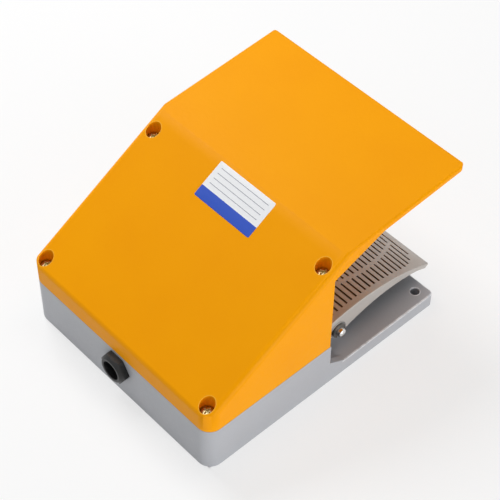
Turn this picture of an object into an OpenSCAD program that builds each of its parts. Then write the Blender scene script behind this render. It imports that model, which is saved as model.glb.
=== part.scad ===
// Industrial foot switch: a cast base with a flat foot plate, a sloping cast cover with an
// open hood, and a ribbed pedal that rocks on a steel pin. The pedal's tail arm lifts the
// plunger of a snap-action switch inside the sealed box.
// Millimetres, +Z up. -Y is the pedal side, +Y the cable side. The origin is on the underside,
// in the middle of the width, straight below the front face of the box.

/* [Base casting] */
// Width of the base and the cover
base_w = 160; // [150:0.5:176]
// Length of the box
box_l = 94.6; // [92:0.1:104]
// Reach of the foot plate in front of the box
plate_l = 91.6; // [86:0.1:98]
// Height of the box up to the parting face
box_h = 34.3; // [33.8:0.1:38]
// Height of the foot plate
plate_t = 10.6; // [9:0.1:11]
// Radius of the box's vertical corners
corner_r = 9; // [7:0.5:11]
// Radius of the foot plate's front corners
plate_corner_r = 3; // [1.5:0.5:6]
// Wall thickness of both castings
wall = 4; // [3.4:0.1:4.4]
// Thickness of the box floor
floor_t = 4; // [3:0.1:5]
// Thickness of the foot plate's top skin
skin_t = 3.5; // [3:0.1:5]
// Thickness of the ribs under the foot plate
rib_t = 3; // [2:0.1:4]
// Reach of the small webs that brace the side walls on the foot plate
web_reach = 13.7; // [8:0.1:18]
// Height of those webs above the foot plate
web_rise = 7.4; // [4:0.1:12]

/* [Fixing holes] */
// Distance of the fixing holes from the sides
fix_side = 8.6; // [7.6:0.1:10]
// Distance of the fixing holes behind the front edge
fix_inset = 8; // [7.4:0.1:12]
// Diameter of the fixing holes
fix_d = 6; // [5:0.1:6.6]
// Diameter of the bosses under the fixing holes
fix_boss_d = 14; // [11:0.5:15]

/* [Cover casting] */
// Height of the cover's rear rim
rim_h = 13.9; // [12.5:0.1:17]
// Angle of the sloping roof
slope_deg = 30.3; // [29:0.1:31]
// Distance of the crease in front of the box
crease_reach = 8.7; // [7:0.1:11]
// Rise of the hood towards the front
hood_deg = 4.3; // [3:0.1:6]
// How far the hood reaches past the foot plate
hood_over = 12.3; // [9:0.1:15]
// Thickness of the hood and the roof
hood_t = 3.5; // [3:0.1:4.4]
// Height at which the hood's side brackets begin, above the parting face
bracket_rise = 59.4; // [50:0.2:62]
// Reach of the hood's side brackets
bracket_reach = 37.6; // [30:0.2:46]
// Edge radius at the rear rim
rim_edge_r = 4; // [2.5:0.5:5]
// Edge radius at the hood
hood_edge_r = 1.5; // [1:0.1:1.7]
// Corner radius of the hood seen from above
hood_corner_r = 4.5; // [3:0.5:6]

/* [Cover screws] */
// Distance of the cover screws from the sides
screw_side = 7.6; // [7.2:0.1:8]
// Distance of the rear cover screws from the rear edge
screw_inset = 6.2; // [6.2:0.1:7]
// Distance of the front cover screws behind the box front
screw_front_y = 2.3; // [1.8:0.1:3]
// Thread diameter of the cover screws
screw_d = 4; // [3.5:0.1:4.2]
// Diameter of the counterbores
cbore_d = 9.4; // [9:0.1:10.4]
// Depth of the screw seats below the roof
cbore_depth = 9.4; // [8:0.1:11]
// Length of thread in the base
thread_grip = 12; // [8:0.5:15]
// Diameter of the posts round the cover screws
post_d = 13.6; // [13.2:0.1:13.8]

/* [Cover gasket] */
// Width of the gasket cord
gasket_w = 1.5; // [1.2:0.1:1.6]
// Height of the gasket cord
gasket_h = 1.2; // [1:0.1:1.5]

/* [Pedal] */
// Distance of the pedal's sides from the sides of the base
pedal_side = 13; // [12.5:0.1:15]
// Radius of the pedal's curved tread
tread_r = 136.7; // [132:0.5:140]
// Height of the tread at its crown
crown_z = 34.2; // [34:0.1:35]
// Distance of the crown in front of the box
crown_y = 40.6; // [38:0.2:43]
// Distance of the pedal's tip in front of the box
tip_y = 99.6; // [95:0.2:101]
// Radius of the pedal's corners at the tip
tip_corner_r = 1.5; // [0.5:0.1:4]
// Gap between the pedal's tail and the box
tail_gap = 4; // [3.5:0.1:6]
// Thickness of the tread
tread_t = 3.5; // [3:0.1:4]
// Thickness of the pedal's side skirts
skirt_t = 4; // [3:0.1:4.5]
// Radius of the arch along the skirts' lower edge
arch_r = 104; // [100:1:110]
// Height of the arch above the foot plate
arch_rise = 14.2; // [13.5:0.1:15]
// Distance of the arch's top in front of the box
arch_y = 63.8; // [61:0.2:66]
// Distance of the pivot in front of the box
pivot_y = 19.5; // [18.5:0.1:21]
// Height of the pivot
pivot_z = 23; // [22.6:0.1:23.6]
// Radius of the eyes round the pivot
eye_r = 7; // [6:0.1:7.4]

/* [Tread grooves] */
// Spacing of the grooves, seen from above
groove_pitch = 3.93; // [3.5:0.01:4.5]
// Width of a groove
groove_w = 1.3; // [1:0.1:1.6]
// Depth of a groove
groove_deep = 1.4; // [0.8:0.1:1.8]
// Distance of the first groove behind the tip, seen from above
groove_first = 5.6; // [4:0.1:8]
// Number of grooves
groove_rows = 22; // [16:1:22]
// Plain margin beside the grooves
groove_margin = 4.3; // [3:0.1:6]
// Corner radius of the grooved field
field_r = 15; // [6:0.5:18]
// How far the field reaches past its first groove
field_lip = 1.5; // [1:0.1:3]
// Distance of the two curved plain bands from the pedal's sides
band_in = 16.9; // [14:0.1:20]
// Width of the plain bands
band_w = 2.6; // [2:0.1:4]
// Radius of the plain bands
band_r = 68; // [60:1:110]
// Distance of the bands' widest place in front of the box
band_y = 56; // [50:0.5:62]

/* [Pivot pin] */
// Diameter of the pin
pin_d = 6; // [5:0.1:6.4]
// Length of the pin beyond each side of the pedal
pin_over = 5.5; // [5:0.1:6]
// Thickness of the lugs that carry the pin
lug_t = 9; // [6:0.5:12]
// Outer diameter of the pin's washers and clips
clip_d = 12; // [10:0.5:12.5]
// Thickness of the washers and clips
clip_t = 0.8; // [0.6:0.1:0.9]

/* [Return springs] */
// Distance of each return spring from the pedal's side
spring_in = 37; // [32:0.5:42]
// Distance of the return springs in front of the box
spring_y = 60; // [55:0.5:66]
// Outer diameter of the return springs
spring_d = 13; // [11:0.5:14]
// Wire diameter of the return springs
spring_wire = 1.5; // [1.2:0.1:1.6]
// Turns of the return springs
spring_turns = 5.5; // [4.5:0.5:6]

/* [Tail arm] */
// Width of the tail arm
arm_w = 20; // [16:0.5:22]
// Thickness of the tail arm
arm_t = 3; // [2:0.1:3.4]
// Height of the tail arm's top face
arm_z = 22.5; // [22:0.1:23]
// Distance of the tail arm's end behind the box front
arm_end = 32; // [31.5:0.1:34]
// Thread diameter of the adjusting screw
adjust_d = 5; // [4:0.1:5]
// Height of the adjusting screw's head
adjust_head = 3.5; // [3:0.1:4]

/* [Snap switch] */
// Distance of the plunger behind the box front
plunger_y = 17; // [16.8:0.1:17.4]
// Length of the switch case
case_l = 49.2; // [48:0.2:52]
// Thickness of the switch case
case_t = 17.5; // [17:0.1:17.8]
// Height of the switch case
case_h = 22; // [20:0.5:26]
// Height of the switch's plunger cover
lid_h = 4; // [3:0.1:5]
// Diameter of the plunger
plunger_d = 5; // [4:0.1:5.6]
// How far the plunger stands out
plunger_out = 5.7; // [5.4:0.1:6.5]
// Spacing of the switch's fixing holes
case_pitch = 25.4; // [24:0.2:27]
// Thickness of the switch bracket
bracket_t = 2; // [1.5:0.1:2.5]

/* [Cable gland] */
// Height of the cable gland above the ground
gland_z = 22.5; // [21.9:0.1:22.9]
// Width across the flats of the gland screw
gland_af = 19; // [18.6:0.1:20]
// How far the gland screw stands out
gland_out = 5.7; // [5:0.1:7]
// Bore of the gland screw
gland_bore = 12.8; // [11:0.1:13.4]
// Thread diameter of the gland screw
gland_thread = 18.6; // [18:0.1:18.8]
// Length of the gland boss inside the box
gland_boss_l = 13; // [12:0.1:15]

/* [Hidden] */

$fn = 64;
gap = 0.3;          // running gap between faces that move past each other
fit = 0.05;         // radial clearance of round fits
eps = 0.02;         // overshoot of a cut
blend = 0.01;       // how far a rounding stands off the faces that it joins

// Base
rear_y = box_l;
front_y = -plate_l;
far = 2 * (box_l + plate_l);
inner_r = corner_r - wall;
fix_x = base_w / 2 - fix_side;
fix_y = front_y + fix_inset;
rib_pitch = (base_w / 2 - wall) / 2;

// Roof line: the height of the cover's outer faces above a point y
rim_z = box_h + rim_h;
crease_z = rim_z + (rear_y + crease_reach) * tan(slope_deg);
hood_y = front_y - hood_over;
function roof_z(y) = y > -crease_reach
    ? rim_z + (rear_y - y) * tan(slope_deg)
    : crease_z + (-crease_reach - y) * tan(hood_deg);
function ceiling_z(y) = y > -crease_reach
    ? roof_z(y) - hood_t / cos(slope_deg)
    : roof_z(y) - hood_t / cos(hood_deg);

// Round-headed screws and nuts, from their thread
function head_of(d) = 2 * d;
function head_rise(d) = 0.75 * d;
function nut_of(d) = 1.75 * d;
function nut_rise(d) = 0.8 * d;

// Cover screws
screw_x = base_w / 2 - screw_side;
screw_rear_y = rear_y - screw_inset;
screw_spots = [[screw_x, screw_front_y], [-screw_x, screw_front_y],
               [screw_x, screw_rear_y], [-screw_x, screw_rear_y]];
screw_washer_t = 1;
screw_washer_d = head_of(screw_d) + 0.6;
function seat_z(y) = roof_z(y) - cbore_depth;
gasket_in = wall / 2;
gasket_clear = 0.1;
eyelet_r = 3.8;

// Pedal
half_w = base_w / 2 - pedal_side;
tread_cz = crown_z - tread_r;
tip_slant = 37;
arch_z = plate_t + arch_rise;
function tread_z(y) = tread_cz + sqrt(pow(tread_r, 2) - pow(y + crown_y, 2));
skirt_in = half_w - skirt_t;
stiffener_x = half_w - 22;
stiffener_t = 3;
stiffener_deep = 5;

// Pivot
lug_x = skirt_in - gap;
lug_w = 2 * (tread_r - tread_t - norm([crown_y - pivot_y, pivot_z - tread_cz]) - gap - 0.1);
pin_r = pin_d / 2;
washer_x = half_w + 0.15;
clip_x = washer_x + clip_t + 0.15;
pin_end = half_w + pin_over;

// Return springs
spring_x = half_w - spring_in;
seat_boss_h = 2.4;
spigot_h = 4;
spigot_d = spring_d - 2 * spring_wire - 1;
spring_foot = plate_t + 0.05;
pedal_seat_z = tread_z(-spring_y) - tread_t - seat_boss_h;
spring_top = pedal_seat_z - gap;

// Tail arm
arm_front = -pivot_y + pin_r + 1;
arm_boss_end = -tail_gap - 0.5;
arm_screw_x = 6;
arm_screw_y = (arm_front + arm_boss_end) / 2;
arm_screw_d = 4;
arm_screw_up = 4.5;
window_w = arm_w + 4;
window_low = arm_z - arm_t - 2.5;
window_high = arm_z + 6;
adjust_top = arm_z + adjust_head;
adjust_tail = 7;
adjust_af = 8;
locknut_h = 4;
buffer_d = 9;
buffer_h = 8;
buffer_y = arm_end - buffer_d / 2;
buffer_top = arm_z - arm_t - gap;

// Snap switch
plunger_low = adjust_top + gap;
case_low = plunger_low + plunger_out;
case_front = plunger_y - case_t / 2;
case_rear = plunger_y + case_t / 2;
case_screw_z = case_low + 9;
case_screw_d = 4;
plunger_up = 9;
plunger_room = 4.2;
terminal_pitch = 17;
terminal_x = [-1, 0, 1] * terminal_pitch;
terminal_w = 8;
terminal_l = 10;
terminal_screw_d = 3.5;
terminal_depth = 5;
terminal_t = 1.2;
terminal_stop = 4;
case_top = case_low + case_h;

// Switch bracket
bracket_w = 60;
arch_w = 28;
arch_top = arm_z + 8;
foot_l = 15;
foot_boss_h = 4;
foot_z = floor_t + foot_boss_h;
foot_x = 22;
foot_y = case_rear + bracket_t + 8;
foot_screw_d = 4;
case_screw_over = 5;

// Cable gland
gland_r = gland_thread / 2;
gland_boss_r = gland_r + 4;
gland_grip = 5.2;
gland_step_y = rear_y - wall - gland_boss_l + 3;
gland_washer_t = 1;
gland_washer_y = rear_y - gland_grip - 0.2 - gland_washer_t;
gland_washer_bore = 10.5;
cable_r = 4.5;

// Earth screw
earth_in = 30;
earth_back = 32.6;
earth_x = earth_in - base_w / 2;
earth_y = rear_y - earth_back;
earth_boss_h = 8;
earth_d = 4;
earth_washer_t = 1.2;
earth_depth = 7;

paint_orange = "#F79B05";
paint_grey = "#B4B4B8";
cast_bare = "#B0A69C";
steel = "#C8CACC";
zinc = "#D8D4C0";
brass = "#C9A24A";
black = "#202124";

// ---------- shared shapes ----------

// Flat slab with rounded vertical corners between two corner points
module slab(x0, y0, x1, y1, z0, z1, r) {
    translate([0, 0, z0]) linear_extrude(z1 - z0) rounded(x0, y0, x1, y1, r);
}

module rounded(x0, y0, x1, y1, r) {
    translate([x0 + r, y0]) square([x1 - x0 - 2 * r, y1 - y0]);
    translate([x0, y0 + r]) square([x1 - x0, y1 - y0 - 2 * r]);
    for (x = [x0 + r, x1 - r], y = [y0 + r, y1 - r]) translate([x, y]) circle(r);
}

// Upright rod between two heights
module rod(x, y, z0, z1, r) {
    translate([x, y, z0]) cylinder(r = r, h = z1 - z0);
}

// Block between two corner points
module block(a, b) {
    translate(a) cube(b - a);
}

// A side profile, drawn as [y, z], pushed out along X
module along_x(x0, x1) {
    translate([x0, 0, 0]) rotate([90, 0, 90]) linear_extrude(x1 - x0) children();
}

// Children turned so that their Z axis points along +Y, at a place
module facing_rear(at) {
    translate(at) rotate([-90, 0, 0]) children();
}

// Both sides, mirrored
module both_sides() {
    for (side = [0, 1]) mirror([side, 0, 0]) children();
}

// Screw with a round head: the shank goes down from the head's seat
module pan_screw(d, len) {
    head = head_of(d);
    high = head_rise(d);
    difference() {
        union() {
            translate([0, 0, -len]) cylinder(d = d, h = len + eps);
            rotate_extrude() polygon([[0, 0], [head / 2, 0], [head / 2, high * 0.45],
                [head * 0.4, high * 0.85], [head * 0.22, high], [0, high]]);
        }
        for (a = [0, 90]) rotate(a) translate([-head * 0.27, -d * 0.09, high * 0.35])
            cube([head * 0.54, d * 0.18, high]);
    }
}

// Flat ring
module ring(outer_r, inner_r, h) {
    difference() {
        cylinder(r = outer_r, h = h);
        translate([0, 0, -1]) cylinder(r = inner_r, h = h + 2);
    }
}

// Hexagon nut or head: width across flats, height
module hexagon(af, h) {
    cylinder(d = af / cos(30), h = h, $fn = 6);
}

// ---------- base ----------

module base_casting() {
    color(paint_grey) difference() {
        union() {
            base_shell();
            base_bosses();
            hinge_lugs();
        }
        base_holes();
    }
}

module base_shell() {
    difference() {
        union() {
            slab(-base_w / 2, front_y, base_w / 2, corner_r, 0, plate_t, plate_corner_r);
            slab(-base_w / 2, -corner_r, base_w / 2, rear_y, 0, box_h, corner_r);
            both_sides() side_web();
        }
        // the box starts at y = 0: everything above the foot plate in front of it goes
        difference() {
            block([-base_w, -corner_r * 2, plate_t], [base_w, 0, box_h + 1]);
            both_sides() side_web();
        }
        box_hollow();
        plate_pockets();
    }
}

// Small web that braces a side wall on the foot plate
module side_web() {
    along_x(base_w / 2 - wall, base_w / 2)
        polygon([[0, plate_t - 1], [-web_reach, plate_t - 1], [-web_reach, plate_t],
            [-1, plate_t + web_rise], [-1, box_h], [0, box_h]]);
}

module box_hollow() {
    difference() {
        slab(-base_w / 2 + wall, wall, base_w / 2 - wall, rear_y - wall, floor_t, box_h + 1,
            inner_r);
        for (p = screw_spots) rod(p[0], p[1], 0, box_h + 2, post_d / 2);
    }
}

// Pockets under the foot plate, between the ribs
module plate_pockets() {
    difference() {
        slab(-base_w / 2 + wall, front_y + wall, base_w / 2 - wall, -wall, -1,
            plate_t - skin_t, inner_r);
        for (x = [-1, 0, 1] * rib_pitch)
            block([x - rib_t / 2, front_y, -1], [x + rib_t / 2, 0, plate_t]);
        block([-base_w / 2, front_y / 2 - rib_t / 2, -1],
            [base_w / 2, front_y / 2 + rib_t / 2, plate_t]);
        both_sides() rod(fix_x, fix_y, -1, plate_t, fix_boss_d / 2);
    }
}

module base_bosses() {
    intersection() {
        for (p = screw_spots) rod(p[0], p[1], plate_t - 1, box_h, post_d / 2);
        slab(-base_w / 2, -corner_r * 2, base_w / 2, rear_y, 0, box_h, corner_r);
    }
    both_sides() {
        rod(foot_x, foot_y, floor_t - 1, foot_z, 5);
        rod(spring_x, -spring_y, plate_t - 1, plate_t + spigot_h, spigot_d / 2);
    }
    rod(0, buffer_y, floor_t - 1, buffer_top - buffer_h, buffer_d / 2 + 1);
    rod(earth_x, earth_y, floor_t - 1, floor_t + earth_boss_h, 6);
    intersection() {
        facing_rear([0, rear_y - wall - gland_boss_l, gland_z])
            cylinder(r = gland_boss_r, h = gland_boss_l + 1);
        block([-base_w / 2, 0, 0], [base_w / 2, rear_y, box_h]);
    }
}

// Lugs that carry the pin, just inside the pedal's skirts
module hinge_lugs() {
    both_sides() along_x(lug_x - lug_t, lug_x) {
        translate([-pivot_y - lug_w / 2, plate_t - 1]) square([lug_w, pivot_z - plate_t + 1]);
        translate([-pivot_y, pivot_z]) circle(d = lug_w);
    }
}

module base_holes() {
    // fixing holes through the foot plate
    both_sides() rod(fix_x, fix_y, -1, plate_t + 1, fix_d / 2);
    // threads for the cover screws
    for (p = screw_spots)
        rod(p[0], p[1], box_h - thread_grip - 3, box_h + 1, screw_d / 2 + fit);
    // pin
    along_x(-base_w, base_w) translate([-pivot_y, pivot_z]) circle(pin_r + fit / 5);
    // window for the tail arm
    block([-window_w / 2, -1, window_low], [window_w / 2, wall + 1, window_high]);
    // cable gland: threaded mouth, step, cable hole
    facing_rear([0, gland_step_y, gland_z]) cylinder(r = gland_r + fit, h = far);
    facing_rear([0, gland_step_y - 10, gland_z]) cylinder(r = cable_r + 1, h = 20);
    // groove for the gasket
    translate([0, 0, box_h - gasket_h]) linear_extrude(gasket_h + 1)
        gasket_outline(gasket_w + 2 * gasket_clear);
    // small screws
    both_sides() rod(foot_x, foot_y, floor_t, foot_z + 1, foot_screw_d / 2 + fit);
    rod(earth_x, earth_y, floor_t, floor_t + earth_boss_h + 1, earth_d / 2 + fit);
}

// ---------- cover ----------

module top_cover() {
    color(paint_orange) difference() {
        cover_envelope();
        // the foot space and the switch chamber leave the screw posts standing
        difference() {
            union() {
                side_openings();
                foot_space();
                chamber();
            }
            for (p = screw_spots) rod(p[0], p[1], 0, crease_z, post_d / 2);
        }
        for (p = screw_spots) {
            rod(p[0], p[1], seat_z(p[1]), crease_z + 20, cbore_d / 2);
            rod(p[0], p[1], 0, crease_z, screw_d / 2 + 0.3);
        }
    }
}

// Outside of the whole casting, filled in below: its outline from above, cut to the roof and
// the hood, with the rim's and the nose's top edges rounded
module cover_envelope() {
    difference() {
        intersection() {
            cover_outline();
            under_roof(slope_deg, rim_edge_r);
            under_roof(hood_deg, hood_edge_r);
        }
        edge_cut([rear_y, rim_z], [0, -1], [-cos(slope_deg), sin(slope_deg)], rim_edge_r);
        edge_cut([hood_y, roof_z(hood_y)], [cos(hood_deg), -sin(hood_deg)], [0, -1],
            hood_edge_r);
    }
}

// Outline from above: large corners at the rear, small ones at the hood
module cover_outline() {
    high = crease_z + far;
    slab(-base_w / 2, 0, base_w / 2, rear_y, box_h, high, corner_r);
    slab(-base_w / 2, hood_y, base_w / 2, corner_r * 2, box_h, high, hood_corner_r);
}

// Endless bar with rounded top edges, tilted so that its top lies in the roof or the hood
module under_roof(tilt, r) {
    translate([0, -crease_reach, crease_z]) rotate([-tilt, 0, 0]) rotate([90, 0, 0])
        linear_extrude(far * 2, center = true)
            rounded(-base_w / 2 - blend, -far, base_w / 2 + blend, 0, r);
}

// What rounding an edge takes off. The edge lies at p, and its faces run along the unit
// directions u and v. The arc meets them a hair early, so that it never only touches them.
module edge_cut(p, u, v, r) {
    half = acos(u * v) / 2;
    inward = (u + v) / norm(u + v);
    c = p + inward * (r - blend) / sin(half);
    foot_u = p + u * (r - blend) / tan(half);
    foot_v = p + v * (r - blend) / tan(half);
    along_x(-base_w, base_w) difference() {
        polygon([c, foot_u + (foot_u - c), p - inward * r * 2, foot_v + (foot_v - c)]);
        translate(c) circle(r);
    }
}

// Everything in front of the side walls and under their brackets, full width
module side_openings() {
    along_x(-base_w, base_w) polygon([[0, -1], [0, box_h + bracket_rise],
        [-bracket_reach, ceiling_z(-bracket_reach)], [hood_y - 20, ceiling_z(hood_y - 20)],
        [hood_y - 20, -1]]);
}

// The room between the brackets, as far as the side openings
module foot_space() {
    reach = bracket_reach + 3;
    along_x(-base_w / 2 + wall, base_w / 2 - wall)
        polygon([[0, -1], [0, ceiling_z(0)], [-crease_reach, ceiling_z(-crease_reach)],
            [-reach, ceiling_z(-reach)], [-reach, -1]]);
}

module chamber() {
    intersection() {
        along_x(-base_w / 2 + wall, base_w / 2 - wall)
            polygon([[wall, -1], [wall, ceiling_z(wall)],
                [rear_y - wall, ceiling_z(rear_y - wall)], [rear_y - wall, -1]]);
        slab(-base_w / 2 + wall, wall, base_w / 2 - wall, rear_y - wall, -2, crease_z + 2,
            inner_r);
    }
}

module gasket_outline(w) {
    a = gasket_in - w / 2;
    b = gasket_in + w / 2;
    difference() {
        union() {
            difference() {
                rounded(-base_w / 2 + a, a, base_w / 2 - a, rear_y - a, corner_r - a);
                rounded(-base_w / 2 + b, b, base_w / 2 - b, rear_y - b, corner_r - b);
            }
            for (p = screw_spots) translate(p) circle(eyelet_r + gasket_w / 2 + w / 2);
        }
        for (p = screw_spots) translate(p) circle(eyelet_r + gasket_w / 2 - w / 2);
    }
}

module cover_gasket() {
    color(black) translate([0, 0, box_h - gasket_h]) linear_extrude(gasket_h)
        gasket_outline(gasket_w);
}

module cover_screw(p) {
    head_z = seat_z(p[1]) + screw_washer_t;
    translate([p[0], p[1], head_z])
        pan_screw(screw_d, head_z - box_h + thread_grip);
}

module cover_screws_front() {
    color(zinc) for (p = screw_spots) if (p[1] < rear_y / 2) cover_screw(p);
}

module cover_screws_rear() {
    color(zinc) for (p = screw_spots) if (p[1] > rear_y / 2) cover_screw(p);
}

module cover_screw_washers() {
    color(zinc) for (p = screw_spots) translate([p[0], p[1], seat_z(p[1])])
        ring(screw_washer_d / 2, screw_d / 2 + fit, screw_washer_t);
}

// ---------- pedal ----------

module pedal() {
    color(cast_bare) difference() {
        union() {
            intersection() {
                pedal_blank();
                slab(-half_w, -tip_y, half_w, 0, 0, crown_z + 1, tip_corner_r);
            }
            tail_boss();
            both_sides() spring_seat();
        }
        tip_cut();
        tread_grooves();
        along_x(-base_w, base_w) translate([-pivot_y, pivot_z]) circle(pin_r + fit);
        for (x = [-1, 1] * arm_screw_x)
            rod(x, arm_screw_y, arm_z - 1, arm_z + arm_screw_up + 0.5, arm_screw_d / 2 + fit);
    }
}

// Curved tread, side skirts and stiffening ribs
module pedal_blank() {
    along_x(-half_w, half_w) tread_band(tread_t);
    both_sides() {
        along_x(skirt_in, half_w) skirt_profile();
        along_x(stiffener_x - stiffener_t / 2, stiffener_x + stiffener_t / 2)
            intersection() {
                difference() {
                    tread_band(tread_t + stiffener_deep);
                    translate([-arch_y, arch_z - arch_r]) circle(arch_r, $fn = 200);
                }
                translate([-tip_y + 12, 0]) square([tip_y - pivot_y - eye_r - 14, crown_z]);
            }
    }
}

// Band under the tread's arc, between the tip and the tail
module tread_band(t) {
    intersection() {
        difference() {
            translate([-crown_y, tread_cz]) circle(tread_r, $fn = 200);
            translate([-crown_y, tread_cz]) circle(tread_r - t, $fn = 200);
        }
        translate([-tip_y, 0]) square([tip_y - tail_gap, crown_z + 1]);
    }
}

// Skirt: from the tread down to a shallow arch, with an eye round the pivot
module skirt_profile() {
    intersection() {
        translate([-crown_y, tread_cz]) circle(tread_r, $fn = 200);
        union() {
            difference() {
                translate([-tip_y, pivot_z - eye_r]) square([tip_y - pivot_y, crown_z]);
                translate([-arch_y, arch_z - arch_r]) circle(arch_r, $fn = 200);
            }
            translate([-pivot_y - eps, pivot_z]) square([eye_r + eps, crown_z]);
            translate([-pivot_y, pivot_z]) circle(eye_r);
        }
    }
}

// The tip is cut back under its front edge
module tip_cut() {
    along_x(-base_w, base_w) translate([-tip_y, tread_z(-tip_y)]) rotate(-tip_slant)
        translate([-crown_z, -crown_z]) square([2 * crown_z, crown_z]);
}

// Boss that the tail arm is screwed to, up to the tread's underside
module tail_boss() {
    intersection() {
        block([-arm_w / 2 - 2, arm_front, arm_z], [arm_w / 2 + 2, arm_boss_end, crown_z]);
        along_x(-base_w, base_w) translate([-crown_y, tread_cz]) circle(tread_r - 1, $fn = 200);
    }
}

// Seat and spigot for a return spring under the tread
module spring_seat() {
    intersection() {
        union() {
            rod(spring_x, -spring_y, pedal_seat_z, crown_z, spring_d / 2 + 1);
            rod(spring_x, -spring_y, pedal_seat_z - spigot_h, crown_z, spigot_d / 2);
        }
        along_x(-base_w, base_w) translate([-crown_y, tread_cz]) circle(tread_r - 1, $fn = 200);
    }
}

// Rows of grooves across the tread, broken by two curved plain bands
module tread_grooves() {
    for (row = [0 : groove_rows - 1]) {
        y = groove_first - tip_y + row * groove_pitch;
        a = asin((-crown_y - y) / tread_r);
        end = half_w - groove_margin - corner_loss(field_lip + row * groove_pitch);
        band = band_centre(y);
        translate([0, -crown_y, tread_cz]) rotate([a, 0, 0])
            translate([0, -groove_w / 2, tread_r - groove_deep]) {
                if (row == 0) groove(-end, end);
                else {
                    groove(-band + band_w / 2, band - band_w / 2);
                    both_sides() groove(band + band_w / 2, end);
                }
            }
    }
}

module groove(x0, x1) {
    translate([x0, 0, 0]) cube([x1 - x0, groove_w, groove_deep + 5]);
}

// How much shorter the grooves are where the field's corner is rounded
function corner_loss(depth) = depth >= field_r ? 0
    : field_r - sqrt(pow(field_r, 2) - pow(field_r - depth, 2));
// Where the plain band crosses a row
function band_centre(y) = half_w - band_in - band_r + sqrt(pow(band_r, 2) - pow(y + band_y, 2));

// ---------- pivot ----------

module pivot_pin() {
    color(steel) rotate([0, 90, 0]) translate([-pivot_z, -pivot_y, 0]) both_ends()
        rotate_extrude() polygon([[0, 0], [pin_r, 0], [pin_r, clip_x], [pin_r - 0.8, clip_x],
            [pin_r - 0.8, clip_x + clip_t + 0.1], [pin_r, clip_x + clip_t + 0.1],
            [pin_r, pin_end - 1.2], [pin_r * 0.87, pin_end - 0.6], [pin_r * 0.55, pin_end - 0.12],
            [0, pin_end]]);
}

module both_ends() {
    children();
    mirror([0, 0, 1]) children();
}

module pivot_washers() {
    color(steel) both_sides() translate([washer_x, -pivot_y, pivot_z]) rotate([0, 90, 0])
        ring(clip_d / 2, pin_r + fit, clip_t);
}

// Retaining clip: a ring with an open mouth, snapped into the pin's groove
module pivot_clips() {
    color(black) both_sides() translate([clip_x + 0.05, -pivot_y, pivot_z]) rotate([0, 90, 0])
        difference() {
            ring(clip_d / 2 - 1, pin_r - 0.75, clip_t);
            translate([0, -pin_r * 0.6, -1]) cube([clip_d, pin_r * 1.2, clip_t + 2]);
        }
}

// ---------- return springs ----------

module return_springs() {
    color(steel) for (x = [-1, 1] * spring_x) translate([x, -spring_y, 0]) coil();
}

// Wire swept along a helix whose end turns lie flat
module coil() {
    r = (spring_d - spring_wire) / 2;
    w = spring_wire / 2;
    sides = 8;
    steps = round(spring_turns * 16);
    low = spring_foot + w;
    rise = spring_top - spring_foot - spring_wire;
    function height(t) = low + rise * smooth(t);
    rings = [for (i = [0 : steps]) let (a = 360 * spring_turns * i / steps)
        [for (k = [0 : sides - 1]) let (b = 360 * k / sides, q = r + w * cos(b))
            [q * cos(a), q * sin(a), height(i / steps) + w * sin(b)]]];
    tube(rings, sides);
}

// Eases a helix in and out, so that its first and last turns are nearly level
function smooth(t) = let (e = 0.14) t < e ? t * t / (2 * e * (1 - e))
    : t > 1 - e ? 1 - (1 - t) * (1 - t) / (2 * e * (1 - e))
    : (t - e / 2) / (1 - e);

// Closed skin over a list of rings
module tube(rings, sides) {
    n = len(rings);
    polyhedron(points = [for (ring = rings) each ring], faces = concat(
        [[for (k = [0 : sides - 1]) k]],
        [[for (k = [sides - 1 : -1 : 0]) (n - 1) * sides + k]],
        [for (i = [0 : n - 2], k = [0 : sides - 1]) let (j = (k + 1) % sides)
            [i * sides + k, (i + 1) * sides + k, (i + 1) * sides + j, i * sides + j]]));
}

// ---------- tail arm ----------

module tail_arm() {
    color(steel) difference() {
        slab(-arm_w / 2, arm_front, arm_w / 2, arm_end, arm_z - arm_t, arm_z, 2);
        rod(0, plunger_y, 0, arm_z + 1, adjust_d / 2 + fit);
        for (x = [-1, 1] * arm_screw_x) rod(x, arm_screw_y, 0, arm_z + 1, arm_screw_d / 2 + fit);
    }
}

module tail_arm_screws() {
    color(zinc) for (x = [-1, 1] * arm_screw_x) translate([x, arm_screw_y, arm_z - arm_t])
        mirror([0, 0, 1]) pan_screw(arm_screw_d, arm_t + arm_screw_up);
}

module adjusting_screw() {
    color(zinc) translate([0, plunger_y, arm_z]) {
        intersection() {
            hexagon(adjust_af, adjust_head);
            rotate_extrude() polygon([[0, 0], [adjust_af, 0], [adjust_af / 2 + 0.7, adjust_head - 0.7],
                [adjust_af / 2 - 0.6, adjust_head], [0, adjust_head]]);
        }
        translate([0, 0, -arm_t - adjust_tail]) cylinder(d = adjust_d, h = arm_t + adjust_tail + eps);
    }
}

module adjusting_locknut() {
    color(zinc) translate([0, plunger_y, arm_z - arm_t - locknut_h]) difference() {
        hexagon(adjust_af, locknut_h);
        translate([0, 0, -1]) cylinder(d = adjust_d + 2 * fit, h = locknut_h + 2);
    }
}

module rest_buffer() {
    color(black) translate([0, buffer_y, buffer_top - buffer_h]) rotate_extrude()
        polygon([[0, 0], [buffer_d / 2, 0], [buffer_d / 2, buffer_h - 1.5],
            [buffer_d / 2 - 1.5, buffer_h], [0, buffer_h]]);
}

// ---------- snap switch ----------

module switch_bracket() {
    color(steel) difference() {
        union() {
            along_y_plate(case_rear, bracket_t);
            both_sides() slab(arch_w / 2, case_rear, bracket_w / 2,
                case_rear + bracket_t + foot_l, foot_z, foot_z + bracket_t, 0.8);
        }
        both_sides() {
            rod(foot_x, foot_y, 0, foot_z + 5, foot_screw_d / 2 + 0.2);
            facing_rear([case_pitch / 2, case_rear - 5, case_screw_z])
                cylinder(d = case_screw_d + 2 * fit, h = 20);
        }
    }
}

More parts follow.
